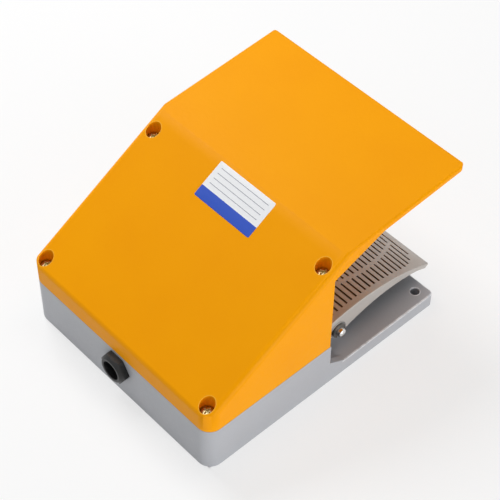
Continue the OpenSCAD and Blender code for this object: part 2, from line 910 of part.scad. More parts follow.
// Upright plate of the bracket, with an arch over the tail arm
module along_y_plate(y, t) {
    translate([0, y + t, 0]) rotate([90, 0, 0]) linear_extrude(t) difference() {
        rounded(-bracket_w / 2, foot_z, bracket_w / 2, case_top, 3);
        translate([-arch_w / 2, 0]) square([arch_w, arch_top]);
    }
}

module bracket_screws() {
    color(zinc) both_sides() translate([foot_x, foot_y, foot_z + bracket_t])
        pan_screw(foot_screw_d, bracket_t + foot_boss_h - 0.5);
}

module switch_case() {
    color(black) difference() {
        slab(-case_l / 2, case_front, case_l / 2, case_rear, case_low + lid_h, case_top, 1.5);
        switch_holes();
        for (x = terminal_x)
            rod(x, plunger_y, case_top - terminal_depth - 1, case_top + 1, terminal_screw_d / 2 + fit);
    }
}

module switch_lid() {
    color("#7A2B1C") difference() {
        union() {
            slab(-case_l / 2, case_front, case_l / 2, case_rear, case_low, case_low + lid_h, 1.5);
            rod(0, plunger_y, case_low - 1.5, case_low + 1, plunger_d / 2 + 2);
        }
        switch_holes();
    }
}

module switch_holes() {
    both_sides() facing_rear([case_pitch / 2, case_front - 5, case_screw_z])
        cylinder(d = case_screw_d + 2 * fit, h = case_t + 10);
    rod(0, plunger_y, 0, case_low + plunger_up + plunger_room, plunger_d / 2 + fit);
}

module switch_plunger() {
    color("#E8E4DA") rod(0, plunger_y, plunger_low, case_low + plunger_up, plunger_d / 2);
}

// Flat terminals on the case, each with a turned-up stop at its end
module switch_terminals() {
    color(brass) for (x = terminal_x) difference() {
        union() {
            block([x - terminal_w / 2, plunger_y - terminal_l / 2, case_top],
                [x + terminal_w / 2, plunger_y + terminal_l / 2, case_top + terminal_t]);
            block([x - terminal_w / 2, plunger_y - terminal_l / 2, case_top],
                [x + terminal_w / 2, plunger_y - terminal_l / 2 + terminal_t,
                    case_top + terminal_stop]);
        }
        rod(x, plunger_y, case_top - 1, case_top + terminal_stop, terminal_screw_d / 2 + fit);
    }
}

module terminal_screws() {
    color(zinc) for (x = terminal_x) translate([x, plunger_y, case_top + terminal_t])
        pan_screw(terminal_screw_d, terminal_t + terminal_depth);
}

module switch_fixing_screws() {
    color(zinc) both_sides() translate([case_pitch / 2, case_front, case_screw_z])
        rotate([90, 0, 0]) pan_screw(case_screw_d, case_t + bracket_t + case_screw_over);
}

module switch_fixing_nuts() {
    color(zinc) both_sides() facing_rear([case_pitch / 2, case_rear + bracket_t, case_screw_z])
        difference() {
            hexagon(nut_of(case_screw_d), nut_rise(case_screw_d));
            translate([0, 0, -1]) cylinder(d = case_screw_d + 2 * fit, h = case_screw_d + 2);
        }
}

// ---------- cable gland ----------

module gland_screw() {
    face_r = gland_bore / 2 + 1.75;
    color(black) facing_rear([0, rear_y, gland_z]) difference() {
        union() {
            intersection() {
                hexagon(gland_af, gland_out);
                rotate_extrude() polygon([[0, 0], [gland_af, 0], [gland_af, gland_out - 3.2],
                    [gland_af / 2 + 0.6, gland_out - 1.9], [face_r, gland_out], [0, gland_out]]);
            }
            translate([0, 0, -gland_grip]) cylinder(r = gland_r - fit, h = gland_grip + eps);
        }
        translate([0, 0, -gland_grip - 1])
            cylinder(d = gland_bore, h = gland_grip + gland_out + 2);
    }
}

module gland_washer() {
    color(steel) facing_rear([0, gland_washer_y, gland_z])
        ring(gland_r - 0.3, gland_washer_bore / 2, gland_washer_t);
}

module gland_seal() {
    long = gland_washer_y - gland_step_y - gap;
    color("#2B2B2E") facing_rear([0, gland_step_y + gap / 2, gland_z])
        ring(gland_r - 0.2, cable_r, long);
}

// ---------- earth connection ----------

module earth_screw() {
    color(brass) translate([earth_x, earth_y, floor_t + earth_boss_h + earth_washer_t])
        pan_screw(earth_d, earth_depth);
}

module earth_washer() {
    color(brass) translate([earth_x, earth_y, floor_t + earth_boss_h])
        ring(head_of(earth_d) / 2 + 0.6, earth_d / 2 + fit, earth_washer_t);
}

base_casting();
top_cover();
cover_gasket();
cover_screws_front();
cover_screws_rear();
cover_screw_washers();
pedal();
pivot_pin();
pivot_washers();
pivot_clips();
return_springs();
tail_arm();
tail_arm_screws();
adjusting_screw();
adjusting_locknut();
rest_buffer();
switch_bracket();
bracket_screws();
switch_case();
switch_lid();
switch_plunger();
switch_terminals();
terminal_screws();
switch_fixing_screws();
switch_fixing_nuts();
gland_screw();
gland_washer();
gland_seal();
earth_screw();
earth_washer();
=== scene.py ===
# %% [markdown]
# # An industrial foot switch
# A foot switch of this kind is two aluminium castings: a grey base that is also the foot plate,
# and an orange cover whose roof runs on as a guard over the pedal. The solids come from the CAD
# frame. This lesson gives them soft edges, real finishes, springs, screw heads and a blank
# rating plate, and sets up the light. Everything is in metres, with +Z up and -Y at the pedal.

import math

import bmesh
import bpy
import numpy as np
from mathutils import Matrix, Vector


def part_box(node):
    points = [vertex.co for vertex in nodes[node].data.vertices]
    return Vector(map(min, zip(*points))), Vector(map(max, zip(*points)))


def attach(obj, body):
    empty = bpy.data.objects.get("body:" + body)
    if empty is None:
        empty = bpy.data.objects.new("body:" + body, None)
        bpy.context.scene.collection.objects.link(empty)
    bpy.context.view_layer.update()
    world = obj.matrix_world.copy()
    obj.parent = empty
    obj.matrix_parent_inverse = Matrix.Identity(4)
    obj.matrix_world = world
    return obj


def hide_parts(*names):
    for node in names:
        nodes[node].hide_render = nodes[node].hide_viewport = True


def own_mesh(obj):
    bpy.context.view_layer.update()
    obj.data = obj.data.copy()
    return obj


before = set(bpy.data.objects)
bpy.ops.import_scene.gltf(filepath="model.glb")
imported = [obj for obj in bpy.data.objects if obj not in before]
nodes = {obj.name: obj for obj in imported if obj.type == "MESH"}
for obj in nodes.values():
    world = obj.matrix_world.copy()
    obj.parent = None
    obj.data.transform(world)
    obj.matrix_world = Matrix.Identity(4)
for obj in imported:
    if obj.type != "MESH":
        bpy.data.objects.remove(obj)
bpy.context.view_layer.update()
MM = 0.001

# %% [markdown]
# ## The main sizes
# Most sizes are read off the boxes of the CAD nodes. The slope of the roof and the curve of
# the tread can't be, so they are written here, as in the part's own source.

# %% Sizes in millimetres
def span(node):
    """Low and high corner of a node's box, in mm."""
    return [np.array(corner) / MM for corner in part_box(node)]


base_low, base_high = span("base_casting")
pedal_low, pedal_high = span("pedal")
HALF_W, REAR_Y, FRONT_Y, PART_Z = base_high[0], base_high[1], base_low[1], base_high[2]
PEDAL_HALF, TIP_Y = pedal_high[0], pedal_low[1]
PLATE_Z = 10.6                    # top of the foot plate
OPEN_Y = -12.0                    # the foot plate lies open in front of this
RIM_Z = PART_Z + 13.9             # top of the cover's rear rim
SLOPE = math.radians(30.3)        # pitch of the roof behind its fold
BOX_R, PLATE_R = 9.0, 3.0         # corners of the box and of the foot plate, seen from above
FIX_X, FIX_Y, FIX_R = HALF_W - 8.6, FRONT_Y + 8.0, 3.0          # fixing hole
CROWN_Y, CROWN_Z, TREAD_R = -40.6, 34.2, 136.7                  # top and radius of the tread
HEAD_R, HEAD_H = 4.0, 3.0         # head of a cover screw
print("base in mm:", np.round(base_low, 1), np.round(base_high, 1))


# %% [markdown]
# ## Two small helpers for finishes
# Colours are written as the hex values that a screen shows, and turned to the linear values
# that the renderer adds up. One function adds a node, sets it and links it.

# %% Colour and node helpers
def linear(code):
    """sRGB hex to linear: v/12.92 below 0.04045, else ((v + 0.055) / 1.055) to the 2.4."""
    v = np.array([int(code[i : i + 2], 16) for i in (1, 3, 5)]) / 255
    v = np.where(v <= 0.04045, v / 12.92, ((v + 0.055) / 1.055) ** 2.4)
    return (*v.tolist(), 1.0)


def add(tree, kind, inputs=None, **settings):
    """Adds one node; each input is a plain value or another node's output."""
    made = tree.nodes.new(kind)
    for key, value in settings.items():
        setattr(made, key, value)
    for key, value in (inputs or {}).items():
        if isinstance(value, bpy.types.NodeSocket):
            tree.links.new(value, made.inputs[key])
        else:
            made.inputs[key].default_value = value
    return made


def empty_finish(name):
    """A material with a surface shader, its output and the object's own coordinates."""
    made = bpy.data.materials.new(name)
    made.use_nodes = True
    tree = made.node_tree
    tree.nodes.clear()
    shader = add(tree, "ShaderNodeBsdfPrincipled")
    add(tree, "ShaderNodeOutputMaterial", {"Surface": shader.outputs[0]})
    place = add(tree, "ShaderNodeTexCoord").outputs["Object"]
    return made, tree, shader, place


# %% [markdown]
# ## Sprayed and stoved enamel
# Both castings are die-cast aluminium, sprayed with enamel and baked. Wet paint pulls itself
# into shallow waves a couple of millimetres apart, the orange peel, and keeps a fine dust
# texture from the spray. The colour is even, with a slight drift over the large faces. On the
# base, a paler line is painted along the foot plate's rim and round the lips of its fixing holes:
# a painted highlight, where the rounded edges would catch the light.

# %% Where a highlight is painted on the foot plate
# Widths of the painted highlight along an edge and round a hole: a pale line, not wear.
HIGHLIGHT_EDGE, HIGHLIGHT_LIP = 1.0, 0.7      # width of the worn line along an edge and round a hole


def rim_highlight(tree, place):
    """1 on the plate's top within 1 mm of its side and front edges and within 0.7 mm of the
    lips of its fixing holes, else 0: there the painted highlight lies. Each test gives 0 or 1:
    the largest of several means either, their product means both. A noise breaks the line up."""
    apart = add(tree, "ShaderNodeSeparateXYZ", {0: place})
    x, y, z = (apart.outputs[i] for i in range(3))
    side = add(tree, "ShaderNodeMath", {0: x}, operation="ABSOLUTE").outputs[0]
    flat = add(tree, "ShaderNodeCombineXYZ", {0: side, 1: y})
    hole = add(tree, "ShaderNodeVectorMath",
               {0: flat.outputs[0], 1: (FIX_X * MM, FIX_Y * MM, 0)}, operation="DISTANCE")
    highlit = 0.0
    for value, limit, test in ((side, HALF_W - HIGHLIGHT_EDGE, "GREATER_THAN"),
                               (y, FRONT_Y + HIGHLIGHT_EDGE, "LESS_THAN"),
                               (hole.outputs["Value"], FIX_R + HIGHLIGHT_LIP, "LESS_THAN")):
        near = add(tree, "ShaderNodeMath", {0: value, 1: limit * MM}, operation=test)
        highlit = add(tree, "ShaderNodeMath", {0: highlit, 1: near.outputs[0]},
                   operation="MAXIMUM").outputs[0]
    for value, limit, test in ((z, PLATE_Z - 1.0, "GREATER_THAN"),
                               (z, PLATE_Z + 0.1, "LESS_THAN"), (y, OPEN_Y, "LESS_THAN")):
        here = add(tree, "ShaderNodeMath", {0: value, 1: limit * MM}, operation=test)
        highlit = add(tree, "ShaderNodeMath", {0: highlit, 1: here.outputs[0]},
                   operation="MULTIPLY").outputs[0]
    breakup = add(tree, "ShaderNodeTexNoise", {"Vector": place, "Scale": 1 / (3 * MM),
                                           "Detail": 2.0, "Roughness": 0.5})
    uneven = add(tree, "ShaderNodeMapRange", {"Value": breakup.outputs[0], "From Min": 0.35,
                                              "From Max": 0.6, "To Min": 0.35, "To Max": 1.0})
    return add(tree, "ShaderNodeMath", {0: highlit, 1: uneven.outputs[0]},
               operation="MULTIPLY").outputs[0]


# %% [markdown]
# On the cover, a thin pale ring is painted round the lip of each of the four counterbores: a
# painted highlight, where a rounded lip would catch the light.

# %% Painted highlight on the lips of the counterbores
LIP_R, LIP_HALF = 4.92, 0.13      # middle of the pale ring and half of its width


def lip_highlights(tree, place):
    """1 between 4.79 and 5.05 mm from the axis of any cover screw, else 0: the ring of painted
    highlight.
    """
    apart = add(tree, "ShaderNodeSeparateXYZ", {0: place})
    side = add(tree, "ShaderNodeMath", {0: apart.outputs[0]}, operation="ABSOLUTE")
    flat = add(tree, "ShaderNodeCombineXYZ", {0: side.outputs[0], 1: apart.outputs[1]})
    rings = []
    for node in ("cover_screws_front", "cover_screws_rear"):
        low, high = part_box(node)
        axis = (high.x - HEAD_R * MM, (low.y + high.y) / 2, 0)
        away = add(tree, "ShaderNodeVectorMath", {0: flat.outputs[0], 1: axis},
                   operation="DISTANCE")
        rings.append(add(tree, "ShaderNodeMath", {0: away.outputs["Value"], 1: LIP_R * MM,
                                                  2: LIP_HALF * MM}, operation="COMPARE"))
    return add(tree, "ShaderNodeMath", {0: rings[0].outputs[0], 1: rings[1].outputs[0]},
               operation="MAXIMUM").outputs[0]


# %% Enamel on a casting
PEEL_DEPTH, DUST_DEPTH = 0.055, 0.012      # a little deeper than real, so that they show


def enamel(name, colour, deeper, gloss, specular, metallic, peel_mm, dust_mm, highlight_tone, where):
    """Paint: two waves of bump, a slow drift between two tones and a varying gloss. It takes
    the painted highlight's tone where the function says 1."""
    made, tree, shader, place = empty_finish(name)
    drift = add(tree, "ShaderNodeTexNoise",
                {"Vector": place, "Scale": 1 / (42 * MM), "Detail": 2.0, "Roughness": 0.5})
    tone = add(tree, "ShaderNodeMix",
               {"Factor": drift.outputs[0], 6: linear(colour), 7: linear(deeper)},
               data_type="RGBA")
    shade = add(tree, "ShaderNodeMix", {"Factor": where(tree, place), 6: tone.outputs[2],
                                        7: linear(highlight_tone)}, data_type="RGBA")
    tree.links.new(shade.outputs[2], shader.inputs["Base Color"])
    peel = add(tree, "ShaderNodeTexNoise",
               {"Vector": place, "Scale": 1 / (peel_mm * MM), "Detail": 1.5, "Roughness": 0.4})
    dust = add(tree, "ShaderNodeTexNoise",
               {"Vector": place, "Scale": 1 / (dust_mm * MM), "Detail": 2.0, "Roughness": 0.6})
    waves = add(tree, "ShaderNodeBump",
                {"Height": peel.outputs[0], "Strength": 1.0, "Distance": PEEL_DEPTH * MM})
    grain = add(tree, "ShaderNodeBump",
                {"Height": dust.outputs[0], "Strength": 1.0, "Distance": DUST_DEPTH * MM,
                 "Normal": waves.outputs[0]})
    tree.links.new(grain.outputs[0], shader.inputs["Normal"])
    sheen = add(tree, "ShaderNodeMapRange",
                {"Value": peel.outputs[0], "From Min": 0.3, "From Max": 0.7,
                 "To Min": gloss - 0.04, "To Max": gloss + 0.05})
    tree.links.new(sheen.outputs[0], shader.inputs["Roughness"])
    shader.inputs["Metallic"].default_value = metallic
    shader.inputs["IOR"].default_value = 1.5
    shader.inputs["Specular IOR Level"].default_value = specular
    return made


# The last two arguments give a painted highlight round the counterbore lips: its tone and where
# it lies.
orange_enamel = enamel("orange_stoving_enamel", "#FDA800", "#F89F00", 0.42, 0.07, 0.0, 2.4, 0.7,
                       "#FFBC48", lip_highlights)
# Here the last two arguments give a painted highlight along the foot plate's rim and hole lips.
grey_enamel = enamel("grey_stoving_enamel", "#B8BABF", "#AEB0B5", 0.46, 0.35, 0.10, 1.8, 0.6,
                     "#E2E3E6", rim_highlight)


# %% [markdown]
# ## Cast aluminium
# The pedal is an aluminium casting that was only tumbled and lacquered. Its skin is fine and
# matt, grey, and slightly darker in patches where the lacquer is thicker. The grooves are
# coloured a darker brown. A point's depth under the tread is the tread's radius less its distance
# from the axis of that arc, which picks the grooves out.

# %% Lacquered casting
PLAIN_BAND = 3.5                  # the groove rows start this far inside the pedal's outline


def cast_skin(name, colour, deeper, groove_tone, rough, metallic):
    """Bare casting: patches of tone and a sandy grain from the mould. The colour turns darker
    between 0.2 and 0.5 mm under the tread, inside the plain band along the outline."""
    made, tree, shader, place = empty_finish(name)
    patches = add(tree, "ShaderNodeTexNoise",
                  {"Vector": place, "Scale": 1 / (16 * MM), "Detail": 4.0, "Roughness": 0.55})
    tone = add(tree, "ShaderNodeMix",
               {"Factor": patches.outputs[0], 6: linear(colour), 7: linear(deeper)},
               data_type="RGBA")
    apart = add(tree, "ShaderNodeSeparateXYZ", {0: place})
    level = add(tree, "ShaderNodeCombineXYZ", {1: apart.outputs[1], 2: apart.outputs[2]})
    reach = add(tree, "ShaderNodeVectorMath",
                {0: level.outputs[0], 1: (0, CROWN_Y * MM, (CROWN_Z - TREAD_R) * MM)},
                operation="DISTANCE")
    in_groove = add(tree, "ShaderNodeMapRange",
               {"Value": reach.outputs["Value"], "From Min": (TREAD_R - 0.5) * MM,
                "From Max": (TREAD_R - 0.2) * MM, "To Min": 1.0, "To Max": 0.0})
    aside = add(tree, "ShaderNodeMath", {0: apart.outputs[0]}, operation="ABSOLUTE")
    groove = in_groove.outputs[0]
    for value, limit, test in ((aside.outputs[0], PEDAL_HALF - PLAIN_BAND, "LESS_THAN"),
                               (apart.outputs[1], TIP_Y + PLAIN_BAND, "GREATER_THAN")):
        inside = add(tree, "ShaderNodeMath", {0: value, 1: limit * MM}, operation=test)
        groove = add(tree, "ShaderNodeMath", {0: groove, 1: inside.outputs[0]},
                     operation="MULTIPLY").outputs[0]
    darkened = add(tree, "ShaderNodeMix",
                 {"Factor": groove, 6: tone.outputs[2], 7: linear(groove_tone)},
                 data_type="RGBA")
    tree.links.new(darkened.outputs[2], shader.inputs["Base Color"])
    sand = add(tree, "ShaderNodeTexNoise",
               {"Vector": place, "Scale": 1 / (0.55 * MM), "Detail": 3.0, "Roughness": 0.6})
    grain = add(tree, "ShaderNodeBump",
                {"Height": sand.outputs[0], "Strength": 1.0, "Distance": 0.03 * MM})
    tree.links.new(grain.outputs[0], shader.inputs["Normal"])
    sheen = add(tree, "ShaderNodeMapRange",
                {"Value": patches.outputs[0], "From Min": 0.3, "From Max": 0.7,
                 "To Min": rough - 0.05, "To Max": rough + 0.06})
    tree.links.new(sheen.outputs[0], shader.inputs["Roughness"])
    shader.inputs["Metallic"].default_value = metallic
    return made


pedal_casting = cast_skin("tumbled_cast_aluminium", "#C4BFBA", "#B3AEA8", "#6A5C4F", 0.50, 0.25)


# %% [markdown]
# ## Plated and bright metals
# Screws and nuts are zinc plated and passivated, which leaves a thin yellowish film. The pin
# is bright drawn steel, with fine rings from turning. Spring wire is darker, from its oil
# hardening. All have the same build: a clear metal, a grain stretched along one axis by a
# Mapping node, and gloss that follows the grain.

# %% Worked metal
def worked_metal(name, colour, deeper, rough, grain_mm, stretch, depth_mm):
    """Metal with fine marks: noise scaled up across the marks and down along them."""
    made, tree, shader, place = empty_finish(name)
    along = add(tree, "ShaderNodeMapping", {"Vector": place, "Scale": stretch})
    marks = add(tree, "ShaderNodeTexNoise",
                {"Vector": along.outputs[0], "Scale": 1 / (grain_mm * MM), "Detail": 3.0,
                 "Roughness": 0.6})
    cloud = add(tree, "ShaderNodeTexNoise",
                {"Vector": place, "Scale": 1 / (3 * MM), "Detail": 2.0, "Roughness": 0.5})
    tone = add(tree, "ShaderNodeMix",
               {"Factor": cloud.outputs[0], 6: linear(colour), 7: linear(deeper)},
               data_type="RGBA")
    tree.links.new(tone.outputs[2], shader.inputs["Base Color"])
    scratch = add(tree, "ShaderNodeBump",
                  {"Height": marks.outputs[0], "Strength": 1.0, "Distance": depth_mm * MM})
    tree.links.new(scratch.outputs[0], shader.inputs["Normal"])
    sheen = add(tree, "ShaderNodeMapRange",
                {"Value": marks.outputs[0], "From Min": 0.3, "From Max": 0.7,
                 "To Min": rough - 0.06, "To Max": rough + 0.08})
    tree.links.new(sheen.outputs[0], shader.inputs["Roughness"])
    shader.inputs["Metallic"].default_value = 1.0
    return made


passivated_zinc = worked_metal("yellow_passivated_zinc", "#D3C79A", "#B9A878", 0.30, 0.5,
                               (1, 1, 1), 0.004)
clear_zinc = worked_metal("clear_zinc_plated_strip", "#C6C8C9", "#B4B7B9", 0.36, 0.4,
                          (0.15, 1, 1), 0.004)
bright_pin = worked_metal("bright_drawn_steel", "#DCDCDA", "#CFCFCE", 0.17, 0.3,
                          (4, 0.4, 0.4), 0.002)
spring_wire = worked_metal("oil_hardened_spring_wire", "#8C8A86", "#6F6C68", 0.33, 0.3,
                           (1, 1, 1), 0.004)
bare_brass = worked_metal("turned_brass", "#D2A556", "#B98B3F", 0.32, 0.3, (1, 1, 3), 0.004)


# %% [markdown]
# ## Moulded plastics and rubber
# The gland screw is glass-filled nylon: black, with a satin skin that shows the mould's spark
# erosion. The snap switch is phenolic resin, the plunger acetal, and the seals nitrile rubber
# with a dull bloom.

# %% Moulded plastic and rubber
def moulded(name, colour, deeper, rough, grain_mm, depth_mm, specular=0.5):
    """Plastic or rubber: an even grain from the mould and a slight change of tone."""
    made, tree, shader, place = empty_finish(name)
    grain = add(tree, "ShaderNodeTexNoise",
                {"Vector": place, "Scale": 1 / (grain_mm * MM), "Detail": 2.0, "Roughness": 0.6})
    cloud = add(tree, "ShaderNodeTexNoise",
                {"Vector": place, "Scale": 1 / (6 * MM), "Detail": 2.0, "Roughness": 0.5})
    tone = add(tree, "ShaderNodeMix",
               {"Factor": cloud.outputs[0], 6: linear(colour), 7: linear(deeper)},
               data_type="RGBA")
    tree.links.new(tone.outputs[2], shader.inputs["Base Color"])
    skin = add(tree, "ShaderNodeBump",
               {"Height": grain.outputs[0], "Strength": 1.0, "Distance": depth_mm * MM})
    tree.links.new(skin.outputs[0], shader.inputs["Normal"])
    sheen = add(tree, "ShaderNodeMapRange",
                {"Value": grain.outputs[0], "From Min": 0.3, "From Max": 0.7,
                 "To Min": rough - 0.05, "To Max": rough + 0.06})
    tree.links.new(sheen.outputs[0], shader.inputs["Roughness"])
    shader.inputs["Specular IOR Level"].default_value = specular
    return made


black_nylon = moulded("glass_filled_black_nylon", "#1B1B1C", "#141414", 0.42, 0.6, 0.02, 0.35)
nitrile = moulded("black_nitrile_rubber", "#202022", "#18181A", 0.78, 0.5, 0.03)
phenolic = moulded("black_phenolic_resin", "#1E1E20", "#262527", 0.38, 0.8, 0.01)
red_phenolic = moulded("red_brown_phenolic_resin", "#7C2F20", "#6A2619", 0.40, 0.8, 0.01)
acetal = moulded("natural_acetal", "#E9E6DD", "#DDD9CE", 0.40, 0.5, 0.005)

# %% [markdown]
# ## Finishes on the pieces that stay as they are
# Small pieces and those sealed inside the box keep their CAD shape. Each gets its own finish.

# %% Give each node its finish
plain_nodes = {
    clear_zinc: ["tail_arm", "switch_bracket", "gland_washer", "cover_screw_washers"],
    passivated_zinc: ["tail_arm_screws", "adjusting_screw", "adjusting_locknut",
                      "bracket_screws", "terminal_screws", "switch_fixing_screws",
                      "switch_fixing_nuts"],
    bright_pin: ["pivot_washers"],
    spring_wire: ["pivot_clips"],
    nitrile: ["cover_gasket", "rest_buffer", "gland_seal"],
    phenolic: ["switch_case"],
    red_phenolic: ["switch_lid"],
    acetal: ["switch_plunger"],
    bare_brass: ["switch_terminals", "earth_screw", "earth_washer"],
}
for finish, names in plain_nodes.items():
    for name in names:
        nodes[name].data.materials.clear()
        nodes[name].data.materials.append(finish)
print("nodes that keep their CAD shape:", sum(len(n) for n in plain_nodes.values()))


# %% [markdown]
# ## Soft edges on the castings
# No cast edge is sharp: the mould's corners have a radius and the paint rounds them more. A
# CAD node is a bag of loose triangles, so a copy is welded and its flat faces are made whole.
# Then a Bevel modifier rounds each edge by its own weight. Subdivision would swell the flat
# faces, so a bevel is the better choice here.

# %% Weld a copy of a node
JOIN = 0.004                      # mm: corners closer than this are one
LEVEL = 0.4                       # degrees: two faces that fold less than this are one


def welded(name, node):
    """Copy of a node with its triangles joined and its flat faces dissolved to single ones."""
    mesh = nodes[node].data.copy()
    mesh.name = name
    work = bmesh.new()
    work.from_mesh(mesh)
    bmesh.ops.remove_doubles(work, verts=work.verts, dist=JOIN * MM)
    bmesh.ops.dissolve_limit(work, angle_limit=math.radians(LEVEL), verts=work.verts,
                             edges=work.edges)
    work.to_mesh(mesh)
    work.free()
    made = bpy.data.objects.new(name, mesh)
    bpy.context.scene.collection.objects.link(made)
    return made


def read(items, key, width, kind=float):
    """One property of all vertices, edges, loops or faces, as an array."""
    flat = np.zeros(len(items) * width, kind)
    items.foreach_get(key, flat)
    return flat.reshape(-1, width) if width > 1 else flat


# %% [markdown]
# Which edges get a radius depends on how sharply they fold. The fold is the angle between the
# normals of an edge's two faces. The room beside an edge is the length of the shortest edge
# that leaves its ends sideways: a rounding wider than half of it would run into its neighbour.
# So a radius gives way to the room there, and one that comes out too small to see is left out.

# %% Fold and room of every edge
def folds(mesh):
    """Angle in degrees between the two faces of each edge: acos(a . b) of their normals. The
    loops are sorted by their edge, so that the first and the last loop of each edge give its
    two faces."""
    edge_of_loop = read(mesh.loops, "edge_index", 1, np.int32)
    counts = read(mesh.polygons, "loop_total", 1, np.int32)
    normals = read(mesh.polygons, "normal", 3)
    face_of_loop = np.repeat(np.arange(len(counts)), counts)
    order = np.argsort(edge_of_loop, kind="stable")
    numbers = np.arange(len(mesh.edges))
    first = np.searchsorted(edge_of_loop[order], numbers)
    last = np.searchsorted(edge_of_loop[order], numbers, side="right") - 1
    a, b = normals[face_of_loop[order[first]]], normals[face_of_loop[order[last]]]
    return np.degrees(np.arccos(np.clip((a * b).sum(1), -1, 1)))


def room_beside(points, ends):
    """Length of the shortest edge that leaves either end of an edge sideways. Two edges at a
    corner carry straight on where the product of their directions is below -0.9."""
    corner = ends.ravel()
    edge = np.repeat(np.arange(len(ends)), 2)
    away = points[ends[:, ::-1].ravel()] - points[corner]
    length = np.linalg.norm(away, axis=1)
    away /= np.maximum(length, 1e-9)[:, None]
    order = np.argsort(corner, kind="stable")
    corner, edge, away, length = corner[order], edge[order], away[order], length[order]
    room = np.full(len(ends), 1e9)
    for step in range(1, np.bincount(corner).max()):
        same = corner[step:] == corner[:-step]
        sideways = (away[step:] * away[:-step]).sum(1) > -0.9
        one, other = np.nonzero(same & sideways)[0], np.nonzero(same & sideways)[0] + step
        np.minimum.at(room, edge[one], length[other])
        np.minimum.at(room, edge[other], length[one])
    return room


# %% [markdown]
# The Bevel modifier rounds each edge by its weight. Where several roundings meet at a narrow
# facet it can throw a spike, so Shrinkwrap pulls every point outside the solid back to its
# surface, and Weld closes the slivers. These three are then applied. A Weighted Normal modifier
# keeps the flat faces flat, so that only the roundings shade softly. The long folds across the
# width, such as the one between roof and guard, stay crisp.

# %% Round a welded copy
SHARP = 38.0                      # degrees: a smaller fold is a facet of a rounding in the solid
FOLD, FOLD_LENGTH = 20.0, 8.0     # degrees and mm: a long fold across the width stays crisp
ROOM, LEAST = 0.45, 0.06          # share of the room a radius may take; least radius in mm


def settle(made):
    """Applies the modifiers that an object has so far: its mesh becomes their result."""
    graph = bpy.context.evaluated_depsgraph_get()
    shaped = bpy.data.meshes.new_from_object(made.evaluated_get(graph), depsgraph=graph)
    made.modifiers.clear()
    shaped.name = made.data.name
    made.data = shaped


def softened(name, node, finish, body, widest, rule, steps=3):
    """Stands a rounded copy in for a node. rule gives each edge's radius in mm from its middle
    and its fold, and widest is the largest radius that it gives."""
    made = welded(name, node)
    mesh = made.data
    points = read(mesh.vertices, "co", 3) / MM
    ends = read(mesh.edges, "vertices", 2, np.int32)
    fold = folds(mesh)
    radius = rule(points[ends].mean(1), fold)
    radius = np.minimum(radius, ROOM * room_beside(points, ends))
    radius[radius < LEAST] = 0.0
    run = points[ends[:, 1]] - points[ends[:, 0]]
    length = np.linalg.norm(run, axis=1)
    crease = (fold > FOLD) & (length > FOLD_LENGTH) & (np.abs(run[:, 0]) > 0.95 * length)
    weight = mesh.attributes.new("bevel_weight_edge", "FLOAT", "EDGE")
    weight.data.foreach_set("value", (radius / widest).astype(np.float32))
    hard = mesh.attributes.new("sharp_edge", "BOOLEAN", "EDGE")
    hard.data.foreach_set("value", ((fold > SHARP) | crease) & (radius == 0))
    mesh.materials.clear()
    mesh.materials.append(finish)
    mesh.shade_smooth()
    bevel = made.modifiers.new("soft edges", "BEVEL")
    bevel.limit_method = "WEIGHT"
    bevel.width = widest * MM
    bevel.segments = steps
    bevel.use_clamp_overlap = False
    inside = made.modifiers.new("stay inside the solid", "SHRINKWRAP")
    inside.target = nodes[node]
    inside.wrap_method = "NEAREST_SURFACEPOINT"
    inside.wrap_mode = "INSIDE"
    slivers = made.modifiers.new("close slivers", "WELD")
    slivers.merge_threshold = 0.05 * MM
    settle(made)
    flat = made.modifiers.new("flat faces stay flat", "WEIGHTED_NORMAL")
    flat.weight = 50
    flat.keep_sharp = True
    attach(made, body)
    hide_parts(node)
    print(f"{name}: {int((radius > 0).sum())} of {len(radius)} edges rounded")


# %% [markdown]
# The roof's outer edges are cast with a radius of some millimetres, which the solid has already,
# so only the cover's parting edge is left to round. The base has its widest rounding along the
# foot plate's rim, where a boot rubs.

# %% Cover and base
def cover_rule(middle, fold):
    """Parting edge 0.35 mm."""
    return np.where((fold > SHARP) & (middle[:, 2] < PART_Z + 0.3), 0.35, 0.0)


def base_rule(middle, fold):
    """Foot plate's rim 1.2 mm, the lower outer edges 0.5 mm."""
    x, y, z = middle.T
    wide = np.abs(x)
    outer = (wide > HALF_W - 0.1) | (y > REAR_Y - 0.1) | (y < FRONT_Y + 0.1)
    outer |= (wide > HALF_W - BOX_R) & (y > REAR_Y - BOX_R)
    outer |= (wide > HALF_W - PLATE_R) & (y < FRONT_Y + PLATE_R)
    rim = outer & (np.abs(z - PLATE_Z) < 0.3) & (y < OPEN_Y)
    radius = np.where(rim, 1.2, np.where(outer & (z < 1), 0.5, 0.0))
    return np.where(fold > SHARP, radius, 0.0)


softened("cover_casting", "top_cover", orange_enamel, "housing", 0.35, cover_rule)
softened("base_with_foot_plate", "base_casting", grey_enamel, "housing", 1.2,
         base_rule, steps=4)


# %% [markdown]
# The pedal's grooves are cast in, so their lips are only slightly rounded, while its outline
# has been tumbled round.

# %% Pedal
def pedal_rule(middle, fold):
    """Outline 0.6 mm, groove lips 0.16 mm, everything underneath 0.2 mm."""
    x, y, z = middle.T
    top = CROWN_Z - TREAD_R + np.sqrt(TREAD_R**2 - (y - CROWN_Y) ** 2)
    outline = (np.abs(x) > PEDAL_HALF - 1.6) | (y < TIP_Y + 2.0)
    groove = (z > top - 1.8) & ~outline
    radius = np.where(outline, 0.6, np.where(groove, 0.16, 0.2))
    return np.where(fold > SHARP, radius, 0.0)


softened("ribbed_pedal", "pedal", pedal_casting, "pedal_unit", 0.6, pedal_rule)


# %% [markdown]
# The gland screw is moulded as a hexagon, so its six corners are softened like its mouth, and
# only the chamfers keep a crisp line. The pin is turned steel with a small chamfer at each end.

